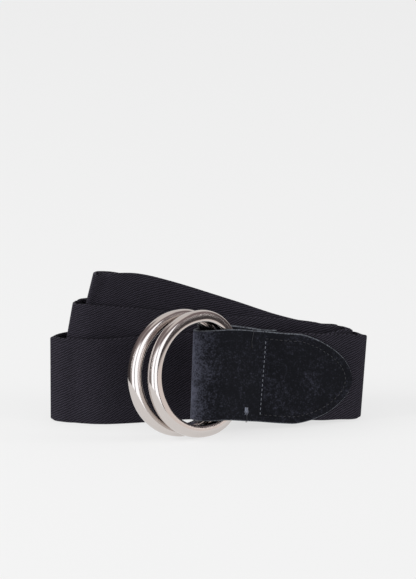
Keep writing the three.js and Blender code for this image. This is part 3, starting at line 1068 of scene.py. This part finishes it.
def mirrored_studio_material():
    """Two white soft boxes in a brown room, with a pale back, a pale ceiling and a pale floor."""
    box_softness = 1.2
    box_glow = 1.72
    material = bpy.data.materials.new("mirrored_studio")
    material.use_nodes = True
    tree = material.node_tree
    tree.nodes.clear()
    place = add_node(tree, "ShaderNodeTexCoord").outputs["Object"]
    direction = add_node(tree, "ShaderNodeVectorMath", {0: place}, operation="NORMALIZE")
    parts = add_node(tree, "ShaderNodeSeparateXYZ", {0: direction})
    height = parts.outputs["Z"]
    toward = add_node(
        tree, "ShaderNodeMath", {0: parts.outputs["Y"], 1: -1}, operation="MULTIPLY",
    )
    bearing = add_node(
        tree, "ShaderNodeMath", {0: parts.outputs["X"], 1: toward}, operation="ARCTAN2",
    )
    turned = add_node(tree, "ShaderNodeMath", {0: bearing}, operation="ABSOLUTE")
    high_wall = share_between(tree, height, heights(2.866, 55), ABOVE_ALL)
    beside_box = share_between(tree, bearing, bearings(-97, -53), bearings(-72, -28))
    back = share_between(tree, turned, bearings(131.27, 142.73), ABOVE_ALL)
    layers = [(high_wall, "#85797a", 1), (beside_box, "#b4adab", 1), (back, "#dedbda", 1)]
    under_box_top = share_between(tree, height, BELOW_ALL, heights(38, 52))
    for low, high in (MIRRORED_LEFT_BOX, MIRRORED_RIGHT_BOX):
        across = share_between(
            tree, bearing, bearings(low - box_softness, low + box_softness),
            bearings(high - box_softness, high + box_softness),
        )
        box = add_node(tree, "ShaderNodeMath", {0: across, 1: under_box_top}, operation="MULTIPLY")
        layers.append((box, "#f7faff", box_glow))
    low_down = share_between(tree, height, BELOW_ALL, heights(0, 3.44))
    right = share_between(tree, bearing, bearings(58, 60), ABOVE_ALL)
    right_floor = add_node(tree, "ShaderNodeMath", {0: right, 1: low_down}, operation="MULTIPLY")
    ceiling = share_between(tree, height, heights(64, 78), ABOVE_ALL)
    layers += [(right_floor, "#efe6e2", 1), (ceiling, "#e4dfdc", 1)]
    colour = (*linear("#403b3c"), 1)
    for share, hex_colour, glow in layers:
        layer_colour = (*[glow * value for value in linear(hex_colour)], 1)
        colour = add_node(
            tree, "ShaderNodeMix",
            {"Factor": share, FIRST_COLOUR: colour, SECOND_COLOUR: layer_colour},
            data_type="RGBA",
        )
    light = add_node(tree, "ShaderNodeEmission", {"Color": colour})
    output = add_node(tree, "ShaderNodeOutputMaterial")
    tree.links.new(light.outputs["Emission"], output.inputs["Surface"])
    return material


def mirrored_studio():
    """A dome round the belt that only the gloss of the metal sees."""
    shape = bmesh.new()
    bmesh.ops.create_uvsphere(shape, u_segments=48, v_segments=24, radius=MIRRORED_RADIUS)
    mesh = bpy.data.meshes.new("mirrored_studio")
    shape.to_mesh(mesh)
    shape.free()
    mesh.materials.append(mirrored_studio_material())
    dome = bpy.data.objects.new("mirrored_studio", mesh)
    bpy.context.scene.collection.objects.link(dome)
    dome.location = MIRRORED_CENTRE
    dome.visible_camera = False
    dome.visible_diffuse = False
    dome.visible_shadow = False


# The soft boxes that light the belt: place, width and height in metres, and power in watts
SOFT_BOXES = {
    "left_box": ((-1.4, -0.45, 0.6), (0.6, 0.8), 22),
    "right_box": ((1.4, -0.35, 0.5), (0.5, 0.7), 10),
}
SOFT_BOX_AIM = (0, 0, 0.03)
EVEN_LIGHT = 0.62


def soft_box(name, place, size, power):
    """A large soft light that points at the belt."""
    light = bpy.data.lights.new(name, "AREA")
    light.shape = "RECTANGLE"
    light.size, light.size_y = size
    light.energy = power
    lamp = bpy.data.objects.new(name, light)
    bpy.context.scene.collection.objects.link(lamp)
    lamp.location = place
    toward = Vector(SOFT_BOX_AIM) - Vector(place)
    lamp.rotation_euler = toward.to_track_quat("-Z", "Y").to_euler()


def floor_piece(props):
    """A plain pale floor that carries the belt, lit from inside so that shadows stay faint."""
    reflected = 0.22
    glow = 0.78
    material, tree, shader = new_material("pale_matt_floor")
    shader.inputs["Base Color"].default_value = (*[reflected * c for c in props.floor_colour], 1)
    shader.inputs["Emission Color"].default_value = (*props.floor_colour, 1)
    shader.inputs["Emission Strength"].default_value = glow
    shader.inputs["Roughness"].default_value = 0.9
    shader.inputs["Specular IOR Level"].default_value = 0
    half = props.floor_size / 2
    corners = [(-half, -half, 0), (half, -half, 0), (half, half, 0), (-half, half, 0)]
    mesh = bpy.data.meshes.new("floor")
    mesh.from_pydata(corners, [], [(0, 1, 2, 3)])
    mesh.materials.append(material)
    floor = bpy.data.objects.new("floor", mesh)
    bpy.context.scene.collection.objects.link(floor)


# The frame's middle stands over the frontmost run of the roll
FRONT_RUN = (-0.284 * MM, 2.409 * MM, 0.091 * MM)


def photograph_camera(distance):
    """A long lens at the photograph's angle, framed as the photograph is."""
    camera = bpy.data.cameras.new("camera")
    camera.sensor_fit = "HORIZONTAL"
    camera.sensor_width = 36
    camera.lens = camera.sensor_width * distance / (IMAGE_WIDTH / PIXELS_PER_MM * MM)
    camera.clip_end = 50
    back = Vector((0, -math.cos(VIEW_ELEVATION), math.sin(VIEW_ELEVATION)))
    pixels_up = (BASE_LINE_PIXEL - IMAGE_HEIGHT / 2) / math.cos(VIEW_ELEVATION)
    aim = Vector(FRONT_RUN) + Vector((0, 0, pixels_up / PIXELS_PER_MM * MM))
    eye = bpy.data.objects.new("camera", camera)
    bpy.context.scene.collection.objects.link(eye)
    eye.location = aim + back * distance
    eye.rotation_euler = (-back).to_track_quat("-Z", "Y").to_euler()
    bpy.context.scene.camera = eye


class BELT_OT_stage(bpy.types.Operator):
    """Sets the floor, the light and the camera"""
    bl_idname = "belt.stage"
    bl_label = "Stage"

    def execute(self, context):
        props = context.scene.belt_stage
        context.scene.view_settings.view_transform = "Standard"
        floor_piece(props)
        studio_world(EVEN_LIGHT * props.light)
        mirrored_studio()
        for name, (place, size, power) in SOFT_BOXES.items():
            soft_box(name, place, size, power * props.light)
        photograph_camera(props.camera_distance)
        return {"FINISHED"}


class BELT_PT_panel(bpy.types.Panel):
    """Lists the belt's pieces and their sizes"""
    bl_label = "Double Ring Belt"
    bl_idname = "BELT_PT_panel"
    bl_space_type = "VIEW_3D"
    bl_region_type = "UI"
    bl_category = "Belt"

    def draw(self, context):
        for group, operator in PIECES:
            box = self.layout.box()
            props = getattr(context.scene, group)
            for name in props.bl_rna.properties.keys():
                if name not in ("rna_type", "name"):
                    box.prop(props, name)
            box.operator(operator)


GROUPS = {
    "belt_webbing": BeltWebbing,
    "belt_suede": BeltSuede,
    "belt_rings": BeltRings,
    "belt_thread": BeltThread,
    "belt_stage": BeltStage,
}
OPERATORS = (BELT_OT_webbing, BELT_OT_suede_tab, BELT_OT_rings, BELT_OT_stitching, BELT_OT_stage)
PIECES = [(group, operator.bl_idname) for group, operator in zip(GROUPS, OPERATORS)]


def register():
    for kind in (*GROUPS.values(), *OPERATORS, BELT_PT_panel):
        bpy.utils.register_class(kind)
    for name, kind in GROUPS.items():
        setattr(bpy.types.Scene, name, PointerProperty(type=kind))


def unregister():
    for name in GROUPS:
        delattr(bpy.types.Scene, name)
    for kind in reversed((*GROUPS.values(), *OPERATORS, BELT_PT_panel)):
        bpy.utils.unregister_class(kind)


def main():
    register()
    bpy.ops.belt.stage()
    bpy.ops.belt.webbing()
    bpy.ops.belt.suede_tab()
    bpy.ops.belt.rings()
    bpy.ops.belt.stitching()


if __name__ == "__main__":
    main()
